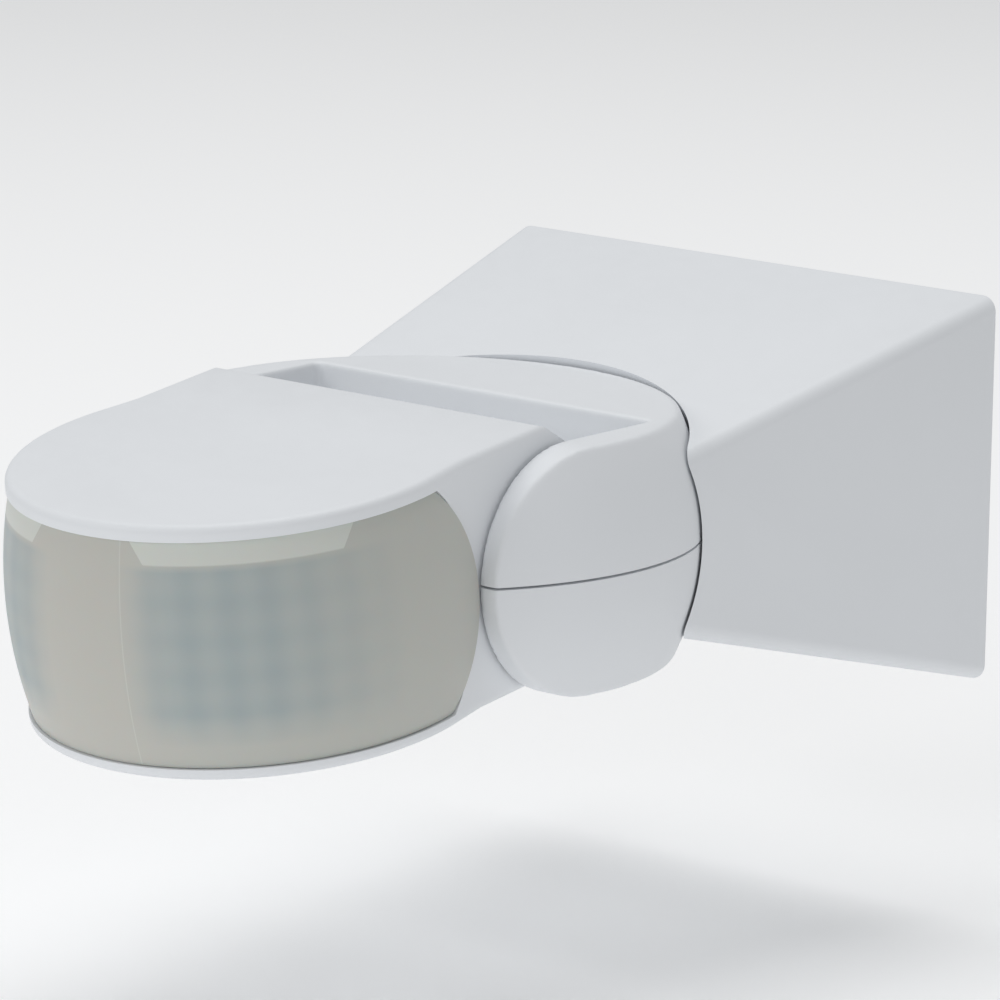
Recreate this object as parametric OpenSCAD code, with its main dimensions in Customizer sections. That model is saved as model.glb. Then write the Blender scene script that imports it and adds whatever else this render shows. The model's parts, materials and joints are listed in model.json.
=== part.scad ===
// Wall mounted passive infrared motion sensor.
// +Z is up, the lens faces -Y, and the wall is the plane y = 0.
// The origin is the middle of the base's back face. All sizes are in millimetres.

/* [Head] */
// Width of the head's tail, between the ears of the yoke
head_w = 50.5; // [42:0.5:62]
// How much further out than the tail the rounded nose stands, on each side
nose_flare = 1.15; // [0.5:0.05:1.6]
// Distance from the tilt axis forward to the centre of the nose arc
nose_reach = 24.4; // [20:0.2:34]
// Height of the head's top face above the tilt axis
head_top = 17; // [15.5:0.1:22]
// Depth of the head's bottom face below the tilt axis, and radius of the tail drum
head_bottom = 12.6; // [11.6:0.1:14]
// Thickness of the top plate
top_plate_t = 1.8; // [1.2:0.1:3]
// Thickness of the bottom cover
cover_t = 1.4; // [1:0.1:2.5]
// Wall thickness of the cheeks and the tail drum
head_wall = 1.8; // [1.2:0.1:2.5]
// How far ahead of the tilt axis the top plate ends
plate_setback = 1.2; // [0.5:0.1:4]
// Angle by which the nose points down at rest
head_drop = 7.8; // [0:0.1:12]

/* [Lens] */
// How far the lens bulges past its top and bottom rims
lens_bulge = 1.7; // [0.5:0.1:2.2]
// How far the lens rims are set in from the plates' edges
lens_inset = 0.4; // [0.1:0.05:0.8]
// Radius of the curve, seen from the side, at which the lens meets the cheeks
window_r = 17.9; // [16:0.1:24]
// Thickness of the lens
lens_t = 0.9; // [0.6:0.1:1.5]
// Height of the lens frame's rails, just inside the rims
frame_rail_h = 3; // [2:0.1:5]
// Thickness of the lens frame
frame_t = 0.8; // [0.6:0.1:1.4]

/* [Yoke] */
// Height of the yoke between its two flat faces
yoke_h = 29; // [26:0.2:36]
// Width of an ear at its front edge
ear_tip_t = 2.4; // [1.6:0.1:5]
// How far the tilt axis is ahead of the swivel axis
tilt_lead = 4.2; // [2:0.1:8]
// Gap between the tilt axis and the slot's rear wall
slot_back = 15.6; // [14.5:0.1:20]
// Wall thickness of the two yoke halves
yoke_wall = 1.8; // [1.4:0.1:2.6]
// Gap that shows between the two halves of the yoke
seam = 0.3; // [0.1:0.05:0.6]
// Clearance between the head and each ear
ear_gap = 0.35; // [0.2:0.05:0.8]
// Outer radius of the hollow pivots on the head
pivot_r = 5; // [4:0.1:6.5]
// Inner radius of the hollow pivots
pivot_bore_r = 3.2; // [2.6:0.1:4]
// Radial running clearance of the pivots
pivot_play = 0.06; // [0.02:0.01:0.1]
// How far each pivot stands out from the head's side
pivot_l = 2.9; // [2:0.1:4]

/* [Swivel] */
// Gap between the yoke and the base's socket
socket_gap = 0.5; // [0.3:0.05:1]
// Thickness of the socket's wall
socket_t = 2.2; // [1.6:0.1:3]
// Swivel angle each way
swivel_deg = 30; // [10:1:32]
// Half-width of the neck that passes through the socket
neck_half_w = 4.5; // [4:0.1:6]
// Half-height of the neck
neck_half_h = 6; // [5.6:0.1:7]
// Thickness of the retaining shoe behind the socket
shoe_t = 2.8; // [2:0.1:4]
// Half-width of the shoe
shoe_half_w = 9.7; // [7.5:0.1:11]
// Half-height of the shoe
shoe_half_h = 9.5; // [8:0.1:11]
// Thickness of the friction pad on the shoe
pad_t = 0.6; // [0.4:0.1:1]

/* [Wall base] */
// Distance from the wall to the back of the yoke
base_depth = 29.3; // [27:0.1:40]
// How far the base's sides stand outside the yoke at the wall
flank_out = 3.55; // [2.5:0.05:8]
// How far the base's top and bottom stand outside the yoke at the wall
roof_out = 9.2; // [8:0.1:14]
// Taper of the two sides, in degrees
side_taper = 8.4; // [6:0.1:10]
// Taper of the top and the bottom, in degrees
roof_taper = 14.3; // [12:0.1:16]
// Wall thickness of the base
base_wall = 2.2; // [1.6:0.1:2.8]
// Rounding of the base's long edges
base_edge_r = 1.6; // [0.8:0.1:2.5]
// Thickness of the wall gasket
gasket_t = 1.5; // [1:0.1:3]
// Width of the wall gasket's band
gasket_w = 4.5; // [3:0.1:6]
// Thickness of the back plate
plate_t = 2.2; // [1.8:0.1:3]
// Distance between the two wall screw holes
wall_hole_pitch = 52; // [44:0.5:56]
// Radius of the wall screw holes
wall_hole_r = 2.3; // [1.8:0.1:2.8]
// Radius of the cable bore through the grommet
cable_r = 3.8; // [2.5:0.1:4.5]
// Number of poles on the terminal block
poles = 3; // [2:1:4]

/* [Fixings and leads] */
// Radius of the small screws' shanks
screw_r = 1.2; // [0.9:0.05:1.3]
// Radius of the small screws' heads
screw_head_r = 2.3; // [1.8:0.1:2.5]
// Height of the small screws' heads
screw_head_h = 1.5; // [1:0.1:2]
// Radius of each insulated lead
lead_r = 0.6; // [0.4:0.05:0.7]
// Distance between neighbouring leads
lead_pitch = 1.6; // [1.5:0.05:1.8]

/* [Adjusters] */
// Radius of the adjusting knobs
knob_r = 4.6; // [3.6:0.1:5.2]
// Distance between neighbouring knobs
knob_pitch = 12.4; // [11.6:0.1:14]
// Distance from the tilt axis forward to the row of knobs
knob_reach = 30; // [27:0.5:33]

/* [Hidden] */

$fn = 96;
eps = 0.01;
// clearance between pieces that are pushed together but don't move
fit = 0.1;
far = 200;

// Ball, axes and base
ear_r = yoke_h / 2;
slot_half = head_w / 2 + ear_gap;
ball_r = sqrt(pow(slot_half + ear_tip_t, 2) + pow(tilt_lead + ear_r, 2));
swivel_y = -(base_depth + ball_r);
tilt_y = swivel_y - tilt_lead;
socket_r = ball_r + socket_gap;
socket_back_r = socket_r + socket_t;
slide_gap = 0.3;
pad_r = socket_back_r + slide_gap;
shoe_r = pad_r + pad_t;
shoe_back_r = shoe_r + shoe_t;
base_w = 2 * (ball_r + flank_out);
base_h = 2 * (ear_r + roof_out);

// Head
nose_r = head_w / 2 + nose_flare;
shoulder_gap = 0.35;
shoulder_y = -(ear_r + shoulder_gap);
flank_a = atan2(nose_reach + shoulder_y, head_w / 2)
  - acos(nose_r / norm([nose_reach + shoulder_y, head_w / 2]));
lens_top = head_top - top_plate_t;
lens_bottom = -head_bottom + cover_t;
frame_end = -nose_reach + 3.4;
drum_tangent_a = atan2(head_top, -plate_setback)
  - acos(head_bottom / norm([plate_setback, head_top]));

// Inside the base
plate_front = -(gasket_t + plate_t);
pole_pitch = 9;
block_w = poles * pole_pitch + 2;
block_d = 12.5;
block_z = [-15.6, -3.6];
block_front = plate_front - block_d;
grommet_z = 9.5;
grommet_r = cable_r + 2.2;
lug_x = 25;
lug_y = -9.5;

// Inside the head
board_z = -5.6;
board_t = 1.6;
board_top = board_z + board_t;
post_r = 2.7;
head_posts = [[-19.6, -17], [19.6, -17], [0, -10.3]];
board_posts = [[-6.2, -38.5], [6.2, -38.5]];
trimmer_h = 4.2;
knob_proud = 0.5;
knob_gap = 0.3;
shaft_r = 1.5;
cover_inset = 3.4;

// ---------- helpers ----------

// A cylinder from y = y0 to y = y1, along Y
module rod_y(r, y0, y1) {
  translate([0, y1, 0]) rotate([90, 0, 0]) cylinder(r = r, h = y1 - y0);
}

// A cylinder from x = x0 to x = x1, along X
module rod_x(r, x0, x1) {
  translate([x0, 0, 0]) rotate([0, 90, 0]) cylinder(r = r, h = x1 - x0);
}

// A box given by its lowest and highest corners
module block(low, high) {
  translate(low) cube(high - low);
}

// The same children on the left and on the right
module both_sides() {
  children();
  mirror([1, 0, 0]) children();
}

// A straight piece of lead between two points, a little longer at both ends to fill the bends
module strut(a, b) {
  d = b - a;
  more = lead_r * 0.5;
  translate(a) rotate([0, acos(d.z / norm(d)), atan2(d.y, d.x)])
    translate([0, 0, -more]) cylinder(r = lead_r, h = norm(d) + 2 * more, $fn = 24);
}

// A lead that runs through a list of points
module lead(points) {
  for (i = [0 : len(points) - 2]) strut(points[i], points[i + 1]);
}

// A pan-head screw: the head sits on z = 0 and the shank points to -Z
module screw(shank_l, r = screw_r, head_r = screw_head_r, head_h = screw_head_h) {
  translate([0, 0, -shank_l]) cylinder(r = r, h = shank_l);
  difference() {
    cylinder(r = head_r, h = head_h);
    for (a = [0, 90]) rotate([0, 0, a])
      translate([0, 0, head_h]) cube([head_r * 1.2, head_r * 0.28, head_h], center = true);
  }
}

// Places children in the head's own frame: the tilt axis is X and the nose points to -Y
module in_head() {
  translate([0, tilt_y, 0]) rotate([head_drop, 0, 0]) children();
}

// Places children in the swivel's frame, whose Z axis is the swivel axis
module in_swivel() {
  translate([0, swivel_y, 0]) children();
}

// Mirrors children below the seam
module lower_half() {
  mirror([0, 0, 1]) children();
}

// ---------- wall base ----------

// The wedge of the base, its walls moved in by inset
module wedge(inset, edge_r, front) {
  half_w = base_w / 2 - inset;
  half_h = base_h / 2 - inset;
  hull() {
    for (sx = [-1, 1], sz = [-1, 1]) {
      translate([sx * (half_w - edge_r), 0, sz * (half_h - edge_r)])
        rod_y(edge_r, -0.5, 0, $fn = 32);
      translate([sx * (half_w - front * tan(side_taper) - edge_r), -front,
                 sz * (half_h - front * tan(roof_taper) - edge_r)])
        rod_y(edge_r, 0, 0.5, $fn = 32);
    }
  }
}

// The arc that the neck sweeps, cut through the socket's wall
module neck_sweep(clear) {
  half_a = swivel_deg + asin((neck_half_w + clear) / socket_r);
  in_swivel() rotate([0, 0, 90 - half_a])
    rotate_extrude(angle = 2 * half_a)
      translate([socket_r - 4, -neck_half_h - clear])
        square([socket_back_r - socket_r + 8, 2 * (neck_half_h + clear)]);
}

module housing_screw_places() {
  for (sx = [-1, 1]) translate([sx * lug_x, lug_y, 0]) children();
}

lug_floor = -(base_h / 2 - base_wall - tan(roof_taper) * -(lug_y - 5)) + fit;
screw_seat = lug_floor - fit - 1.4;

module base_housing() {
  color("whitesmoke") difference() {
    wedge(0, base_edge_r, base_depth + ball_r * 0.8);
    difference() {
      translate([0, eps, 0]) wedge(base_wall, base_edge_r * 0.5, base_depth + ball_r * 0.75);
      in_swivel() sphere(r = socket_back_r);
      // pads that the back plate's lugs rest on
      housing_screw_places() block([-4.5, -5, -far], [4.5, 5, lug_floor - fit]);
    }
    in_swivel() sphere(r = socket_r);
    neck_sweep(0.5);
    // counterbores and holes for the fixing screws, from below
    housing_screw_places() {
      translate([0, 0, screw_seat - far]) cylinder(r = screw_head_r + 0.3, h = far);
      translate([0, 0, screw_seat - 1]) cylinder(r = screw_r + 0.2, h = 4);
    }
    // pockets for the back plate's hooks
    both_sides() hook(0.15);
  }
}

// A hook on the back plate's top edge, which holds the top of the housing
module hook(clear) {
  inner = base_h / 2 - base_wall;
  block([14 - clear, plate_front - clear, inner - 4],
        [24 + clear, -gasket_t + clear, inner + 0.3 + clear]);
}

// The outline of what fills the housing's open back, moved in by inset
module back_outline(inset) {
  clear = fit + inset + base_wall + 4 * tan(roof_taper);
  half_w = base_w / 2 - clear;
  half_h = base_h / 2 - clear;
  r = 3;
  for (sx = [-1, 1], sz = [-1, 1])
    translate([sx * (half_w - r), sz * (half_h - r)]) circle(r = r);
  square([2 * half_w, 2 * (half_h - r)], center = true);
  square([2 * (half_w - r), 2 * half_h], center = true);
}

// Extrudes an outline drawn in X and Z, from y = y0 to y = y1
module extrude_y(y0, y1) {
  translate([0, y1, 0]) rotate([90, 0, 0]) linear_extrude(height = y1 - y0) children();
}

module wall_gasket() {
  color("dimgray") difference() {
    extrude_y(-gasket_t, 0) back_outline(0);
    extrude_y(-gasket_t - 1, 1) back_outline(gasket_w);
  }
}

module block_screw_places() {
  for (sx = [-1, 1])
    translate([sx * (block_w / 2 + 3), 0, (block_z[0] + block_z[1]) / 2]) children();
}

module back_plate() {
  color("gainsboro") difference() {
    union() {
      extrude_y(plate_front, -gasket_t) back_outline(0);
      both_sides() hook(0);
      // lugs for the housing screws
      housing_screw_places()
        block([-4, -5, lug_floor], [4, plate_front - lug_y + 0.5, lug_floor + 8]);
      // bosses round the wall screw holes
      for (sx = [-1, 1]) translate([sx * wall_hole_pitch / 2, 0, 0])
        rod_y(wall_hole_r + 2, plate_front - 1, plate_front + 0.5);
      // rim round the grommet
      translate([0, 0, grommet_z]) rod_y(grommet_r + 1.2, plate_front - 0.8, plate_front + 0.5);
    }
    for (sx = [-1, 1]) translate([sx * wall_hole_pitch / 2, 0, 0])
      rod_y(wall_hole_r, plate_front - 5, 1);
    translate([0, 0, grommet_z]) rod_y(grommet_r, plate_front - 5, 1);
    housing_screw_places() translate([0, 0, lug_floor - 1]) cylinder(r = screw_r + 0.05, h = 8);
    block_screw_places() rod_y(screw_r + 0.05, plate_front - 1, 1);
  }
}

module housing_screws() {
  color("silver") housing_screw_places()
    translate([0, 0, screw_seat]) mirror([0, 0, 1]) screw(6);
}

module cable_grommet() {
  neck_front = plate_front - 0.8;
  color("dimgray") translate([0, 0, grommet_z]) difference() {
    union() {
      rod_y(grommet_r - fit / 2, neck_front, -gasket_t);
      rod_y(grommet_r + 1, neck_front - 1.4, neck_front);
      translate([0, neck_front - 1.4, 0]) rotate([90, 0, 0])
        cylinder(r1 = grommet_r - 0.6, r2 = cable_r + 0.8, h = 3);
    }
    rod_y(cable_r, neck_front - 10, 1);
  }
}

// Places children at each pole of the terminal block
module at_poles() {
  for (i = [0 : poles - 1]) translate([(i - (poles - 1) / 2) * pole_pitch, 0, 0]) children();
}

pole_y = block_front + 8;
pole_z = (block_z[0] + block_z[1]) / 2;
cage = [6.2, 6.6, 9];

module terminal_block() {
  color("white") difference() {
    union() {
      block([-block_w / 2, block_front, block_z[0]], [block_w / 2, plate_front, block_z[1]]);
      block_screw_places() rod_y(3, plate_front - 3, plate_front);
      block([-block_w / 2 - 3, plate_front - 3, pole_z - 3], [block_w / 2 + 3, plate_front, pole_z + 3]);
    }
    // wire entries, from above and from below
    at_poles() translate([0, pole_y, block_z[0] - 1]) cylinder(r = 2.1, h = far);
    // rooms for the clamps and wells for the screws
    at_poles() translate([0, pole_y, pole_z]) cube(cage + [fit, fit, fit] * 2, center = true);
    at_poles() translate([0, 0, pole_z]) rod_y(2.6, block_front - 1, pole_y);
    block_screw_places() rod_y(screw_r + 0.2, plate_front - 4, plate_front + 1);
  }
}

module terminal_clamps() {
  color("goldenrod") at_poles() translate([0, pole_y, pole_z]) difference() {
    cube(cage, center = true);
    translate([0, 0, -cage.z]) cylinder(r = 2.1, h = 2 * cage.z);
    rod_y(1.35, -cage.y, 0);
  }
}

module terminal_screws() {
  color("silver") at_poles() translate([0, pole_y - cage.y / 2 - 0.2, pole_z])
    rotate([90, 0, 0]) screw(1.4, r = 1.3, head_r = 2.3, head_h = 2);
}

module block_screws() {
  color("silver") block_screw_places()
    translate([0, plate_front - 3, 0]) rotate([90, 0, 0]) screw(4.4);
}

module base_leads() {
  start_y = swivel_y + shoe_back_r + 0.8;
  for (i = [0 : 2]) {
    z = (i - 1) * lead_pitch;
    x = (i - 1) * min(poles - 1, 2) / 2 * pole_pitch;
    color(["saddlebrown", "royalblue", "firebrick"][i])
      lead([[0, start_y, z], [0, start_y + 1.6, z], [x, block_front - 1, 3.2 + z / 2],
            [x, pole_y, 0.6], [x, pole_y, pole_z + 2.5]]);
  }
}

// ---------- yoke ----------

// The ball between its two flats, with D shaped ears, moved in by inset
module yoke_form(inset) {
  h = ear_r - inset;
  intersection() {
    in_swivel() sphere(r = ball_r - inset, $fn = 128);
    union() {
      translate([0, tilt_y, 0]) rod_x(h, -far / 2, far / 2);
      block([-far / 2, tilt_y, -h], [far / 2, far, h]);
    }
  }
}

// The slot that holds the head's tail, its walls moved by grow
module slot_form(grow) {
  block([-slot_half - grow, -far, -far / 2], [slot_half + grow, tilt_y + slot_back + grow, far / 2]);
}

neck_end = pad_r + 1.5;
bore_r = pivot_r + pivot_play;
boss_r = pivot_r + 2;
boss_end = slot_half + pivot_l + 0.3;
duct_r = [ball_r - yoke_wall - 2.2, ball_r - yoke_wall + 0.4];
duct_mid = ball_r - yoke_wall - 1.05;
duct_half_h = lead_pitch + lead_r + 0.4;
yoke_posts = [[-12, 21], [12, 21]];

module yoke_post_places() {
  in_swivel() for (p = yoke_posts) translate([p.x, p.y, 0]) children();
}

// One half of the yoke, the upper one, before its screw holes
module yoke_half() {
  difference() {
    union() {
      difference() {
        yoke_form(0);
        // hollow inside, round the slot's walls and the pivot bosses
        difference() {
          yoke_form(yoke_wall);
          slot_form(yoke_wall);
          translate([0, tilt_y, 0]) both_sides() rod_x(boss_r, 0, boss_end);
          yoke_post_places() translate([0, 0, -far / 2]) cylinder(r = 3.4, h = far);
        }
      }
      // neck that passes through the socket
      in_swivel() block([-neck_half_w, ball_r - yoke_wall - 0.2, -neck_half_h],
                        [neck_half_w, neck_end, neck_half_h]);
    }
    slot_form(0);
    // pivot bearings
    translate([0, tilt_y, 0]) both_sides() rod_x(bore_r, 0, boss_end + 1);
    // duct for the leads, from the right ear round to the neck
    in_swivel() {
      rotate([0, 0, -12]) rotate_extrude(angle = 102)
        translate([duct_r[0], -duct_half_h]) square([duct_r[1] - duct_r[0], 2 * duct_half_h]);
      block([-1.6, duct_r[0] + 0.3, -duct_half_h + 0.2], [1.6, neck_end + 1, duct_half_h - 0.2]);
    }
    // the seam between the halves
    block([-far, -far, -far], [far, far, seam / 2]);
  }
}

neck_screw_z = neck_half_h - 1.75;

module yoke_upper() {
  color("whitesmoke") difference() {
    union() {
      yoke_half();
      intersection() {
        yoke_post_places() cylinder(r = 3.4, h = 4);
        yoke_form(yoke_wall / 2);
      }
    }
    yoke_post_places() translate([0, 0, -1]) cylinder(r = screw_r + 0.05, h = 9);
    in_swivel() translate([0, 0, neck_screw_z]) rod_y(screw_r * 0.85, neck_end - 6.5, neck_end + 1);
  }
}

module yoke_lower() {
  head_seat = -ear_r + 3.2;
  color("whitesmoke") difference() {
    union() {
      lower_half() yoke_half();
      intersection() {
        yoke_post_places() translate([0, 0, -4]) cylinder(r = 3.4, h = 4);
        yoke_form(yoke_wall / 2);
      }
    }
    yoke_post_places() {
      translate([0, 0, -far]) cylinder(r = screw_r + 0.2, h = far + 1);
      translate([0, 0, head_seat - far]) cylinder(r = screw_head_r + 0.2, h = far);
    }
    in_swivel() translate([0, 0, -neck_screw_z]) rod_y(screw_r * 0.85, neck_end - 6.5, neck_end + 1);
  }
}

module yoke_screws() {
  head_seat = -ear_r + 3.2;
  color("silver") yoke_post_places()
    translate([0, 0, head_seat]) mirror([0, 0, 1]) screw(-head_seat + 7);
}

// A curved plate centred on the swivel axis, between two radii
module arc_plate(r0, r1, half_w, half_h) {
  half_a = asin(half_w / r1);
  in_swivel() rotate([0, 0, 90 - half_a]) rotate_extrude(angle = 2 * half_a) intersection() {
    difference() {
      circle(r = r1, $fn = 128);
      circle(r = r0, $fn = 128);
    }
    translate([0, -half_h]) square([far, 2 * half_h]);
  }
}

module neck_room(clear) {
  in_swivel() block([-neck_half_w - clear, 0, -neck_half_h - clear],
                    [neck_half_w + clear, neck_end, neck_half_h + clear]);
}

module swivel_pad() {
  color("dimgray") difference() {
    arc_plate(pad_r, shoe_r, shoe_half_w, shoe_half_h);
    neck_room(fit);
  }
}

module swivel_shoe() {
  color("gainsboro") difference() {
    arc_plate(shoe_r, shoe_back_r, shoe_half_w, shoe_half_h);
    neck_room(fit);
    in_swivel() {
      block([-1.4, 0, -duct_half_h], [1.4, far, duct_half_h]);
      for (sz = [-1, 1]) translate([0, 0, sz * neck_screw_z]) {
        rod_y(screw_r, 0, far);
        rod_y(1.9, shoe_back_r - 0.8, far);
      }
    }
  }
}

module swivel_screws() {
  color("silver") in_swivel() for (sz = [-1, 1])
    translate([0, shoe_back_r - 0.8, sz * neck_screw_z]) rotate([-90, 0, 0])
      screw(shoe_back_r - neck_end + 5, r = screw_r * 0.82, head_r = 1.7, head_h = 1);
}

// The path of the yoke's leads: out of the pivot, round to the back and through the neck
function yoke_path(turn) = concat(
  [[head_w / 2, -tilt_lead, 0], [duct_mid - turn, -tilt_lead, 0], [duct_mid, -tilt_lead + turn, 0]],
  [for (a = [8 : 16 : 72]) duct_mid * [cos(a), sin(a), 0]],
  [[turn, duct_mid, 0], [0, duct_mid + 2, 0], [0, shoe_back_r - 0.6, 0]]);

module yoke_leads() {
  for (i = [0 : 2]) color(["saddlebrown", "royalblue", "firebrick"][i])
    in_swivel() translate([0, 0, (i - 1) * lead_pitch]) lead(yoke_path(1.5));
}

// ---------- head ----------

// The head's outline from above, moved out by grow, as far back as y_end
module head_plan(grow, y_end) {
  r = nose_r + grow;
  half_w = head_w / 2 + grow;
  bend = (r - half_w * cos(flank_a)) / sin(flank_a);
  intersection() {
    translate([0, -nose_reach]) {
      circle(r = r, $fn = 160);
      polygon([[-r * cos(flank_a), r * sin(flank_a)], [r * cos(flank_a), r * sin(flank_a)],
               [half_w, bend], [half_w, far], [-half_w, far], [-half_w, bend]]);
    }
    translate([-far / 2, -far]) square([far, far + y_end]);
  }
}

// The head's outline from the side, with Y across and Z up, moved in by inset
module head_side(inset) {
  r = head_bottom - inset;
  top = head_top - (inset > 0 ? top_plate_t : 0);
  back = -plate_setback - inset * 0.4;
  circle(r = r);
  polygon([[-far, -r], [0, -r], (r - 0.05) * [cos(drum_tangent_a), sin(drum_tangent_a)],
           [back, top], [-far, top]]);
}

// The whole head as one block, its walls moved in by inset
module head_block(inset) {
  intersection() {
    translate([0, 0, -far / 2]) linear_extrude(height = far) head_plan(-inset, head_bottom + 2);
    rotate([90, 0, 90]) linear_extrude(height = far, center = true) head_side(inset);
  }
}

// The barrel that the lens is part of, its surface moved out by grow
module lens_barrel(grow) {
  half_h = (lens_top - lens_bottom) / 2;
  mid_z = (lens_top + lens_bottom) / 2;
  arc_r = (half_h * half_h + lens_bulge * lens_bulge) / (2 * lens_bulge);
  rim_r = nose_r - lens_inset;
  translate([0, -nose_reach, mid_z]) rotate_extrude($fn = 160) intersection() {
    translate([rim_r + lens_bulge - arc_r, 0]) circle(r = arc_r + grow, $fn = 360);
    translate([0, -half_h]) square([rim_r + lens_bulge + grow + 1, 2 * half_h]);
  }
}

// The region in front of the cheeks, which the lens fills, moved out by grow
module window(grow) {
  mid_z = (lens_top + lens_bottom) / 2;
  intersection() {
    union() {
      translate([0, shoulder_y - window_r, mid_z]) rod_x(window_r + grow, -far / 2, far / 2);
      block([-far / 2, -far, -far / 2], [far / 2, shoulder_y - window_r, far / 2]);
    }
    block([-far, -far, lens_bottom - grow], [far, far, lens_top + grow]);
  }
}

// Places children at the head's three screw posts
module head_post_places() {
  for (p = head_posts) translate([p.x, p.y, 0]) children();
}

module board_post_places() {
  for (p = board_posts) translate([p.x, p.y, 0]) children();
}

cover_end = -7;
cover_top = -head_bottom + cover_t;

// The bottom cover's outline, moved out by grow
module cover_plan(grow) {
  head_plan(grow - cover_inset, cover_end + grow);
}

// The rib that locates the lens frame, under the top plate
module frame_lip() {
  outer = -lens_t - lens_inset - frame_t - 0.3;
  translate([0, 0, lens_top - 1.4]) linear_extrude(height = 1.4 + eps) difference() {
    head_plan(outer, frame_end);
    head_plan(outer - 1.2, frame_end + 1);
  }
}

module head_shell() {
  color("whitesmoke") in_head() difference() {
    union() {
      difference() {
        head_block(0);
        head_block(head_wall);
        window(0);
      }
      // posts for the cover's screws, down from the top plate
      intersection() {
        head_post_places() translate([0, 0, cover_top]) cylinder(r = post_r, h = far / 2);
        head_block(head_wall / 2);
      }
      frame_lip();
      // hollow pivots
      both_sides() rod_x(pivot_r, head_w / 2 - head_wall - 1.5, head_w / 2 + ear_gap + pivot_l);
    }
    both_sides() rod_x(pivot_bore_r, 0, far / 2);
    both_sides() pivot_groove();
    // opening for the cover, with a rebate for its seal
    translate([0, 0, -far]) linear_extrude(height = far + cover_top) cover_plan(fit);
    translate([0, 0, cover_top]) linear_extrude(height = 1) difference() {
      cover_plan(0.8);
      head_post_places_2d(0);
    }
    head_post_places() translate([0, 0, -head_bottom - 1]) cylinder(r = screw_r + 0.05, h = 11);
  }
}

module pivot_groove(clear = 0) {
  x = head_w / 2 + ear_gap + pivot_l / 2;
  difference() {
    rod_x(pivot_r + 1, x - 0.6 + clear, x + 0.6 - clear);
    rod_x(pivot_r - 0.8 + clear, x - 1, x + 1);
  }
}

module pivot_rings() {
  color("black") in_head() both_sides() intersection() {
    pivot_groove(0.02);
    rod_x(pivot_r - 0.05, 0, far);
  }
}

// Places children at each knob, in the head's frame
module knob_places() {
  for (i = [-1 : 1]) translate([i * knob_pitch, -knob_reach, 0]) children();
}

module head_cover() {
  color("whitesmoke") in_head() difference() {
    union() {
      translate([0, 0, -head_bottom]) linear_extrude(height = cover_t) cover_plan(0);
      // stiffening rim
      translate([0, 0, cover_top - eps]) linear_extrude(height = 2.4) difference() {
        cover_plan(-0.8);
        cover_plan(-2);
      }
      board_post_places() translate([0, 0, cover_top - eps])
        cylinder(r = 2.6, h = board_z - cover_top + eps);
    }
    knob_places() translate([0, 0, -head_bottom - 1]) cylinder(r = knob_r + knob_gap, h = cover_t + 2);
    board_post_places() translate([0, 0, cover_top]) cylinder(r = screw_r * 0.8, h = 9);
    // screw holes with counterbores, and room for the shell's posts
    head_post_places() {
      translate([0, 0, -head_bottom - 1]) cylinder(r = screw_r + 0.2, h = 9);
      translate([0, 0, -head_bottom - 1]) cylinder(r = screw_head_r + 0.2, h = 1.6);
      translate([0, 0, cover_top]) cylinder(r = post_r + 0.3, h = 9);
    }
  }
}

module head_seal() {
  color("dimgray") in_head() translate([0, 0, cover_top]) linear_extrude(height = 0.9) difference() {
    cover_plan(0.7);
    cover_plan(-0.7);
    head_post_places_2d(0.1);
  }
}

module head_screws() {
  color("silver") in_head() head_post_places()
    translate([0, 0, -head_bottom + 0.6]) mirror([0, 0, 1]) screw(9, head_h = 0.9);
}

module lens() {
  color([0.78, 0.8, 0.78, 0.75]) in_head() intersection() {
    difference() {
      lens_barrel(0);
      lens_barrel(-lens_t);
    }
    window(-fit);
  }
}

// Two rails joined by two uprights, which hold the lens from behind
module lens_frame() {
  outer = -lens_t - lens_inset - fit;
  color("white") in_head() difference() {
    translate([0, 0, lens_bottom + fit]) linear_extrude(height = lens_top - lens_bottom - 2 * fit)
      difference() {
        head_plan(outer, frame_end);
        head_plan(outer - frame_t, frame_end + 1);
      }
    block([-far / 2, -far, lens_bottom + frame_rail_h], [far / 2, frame_end - 4, lens_top - frame_rail_h]);
  }
}

module head_post_places_2d(clear) {
  for (p = head_posts) translate(p) circle(r = post_r + clear);
}

// The main board's outline
module board_plan() {
  difference() {
    intersection() {
      head_plan(-4.2, 8);
      translate([-far / 2, -42]) square([far, far]);
    }
    head_post_places_2d(0.4);
  }
}

module main_board() {
  color("darkgreen") in_head() difference() {
    translate([0, 0, board_z]) linear_extrude(height = board_t) board_plan();
    board_post_places() translate([0, 0, board_z - 1]) cylinder(r = screw_r + 0.2, h = 4);
    knob_places() translate([0, 0, board_z - 1]) cylinder(r = shaft_r + 0.4, h = 4);
  }
}

module board_screws() {
  color("silver") in_head() board_post_places()
    translate([0, 0, board_top]) screw(6, r = screw_r * 0.76);
}

sensor_y = -nose_reach + 5.2;
sensor_z = 4.6;

module sensor_board() {
  color("darkgreen") in_head() difference() {
    block([-11, sensor_y, board_top], [11, sensor_y + 1.2, 13]);
    for (sx = [-1, 1]) translate([sx * 2.5, 0, sensor_z]) rod_y(0.4, -far, far);
  }
}

module pir_sensor() {
  color("silver") in_head() translate([0, sensor_y, sensor_z]) difference() {
    union() {
      rod_y(4.1, -4, 0);
      rod_y(4.6, -0.6, 0);
      for (sx = [-1, 1]) translate([sx * 2.5, 0, 0]) rod_y(0.25, 0, 2.4);
    }
    block([-2, -5, -1.5], [2, -3.4, 1.5]);
  }
}

module pir_window() {
  color("dimgray") in_head() translate([0, sensor_y, sensor_z])
    block([-1.95, -3.9, -1.45], [1.95, -3.42, 1.45]);
}

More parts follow.
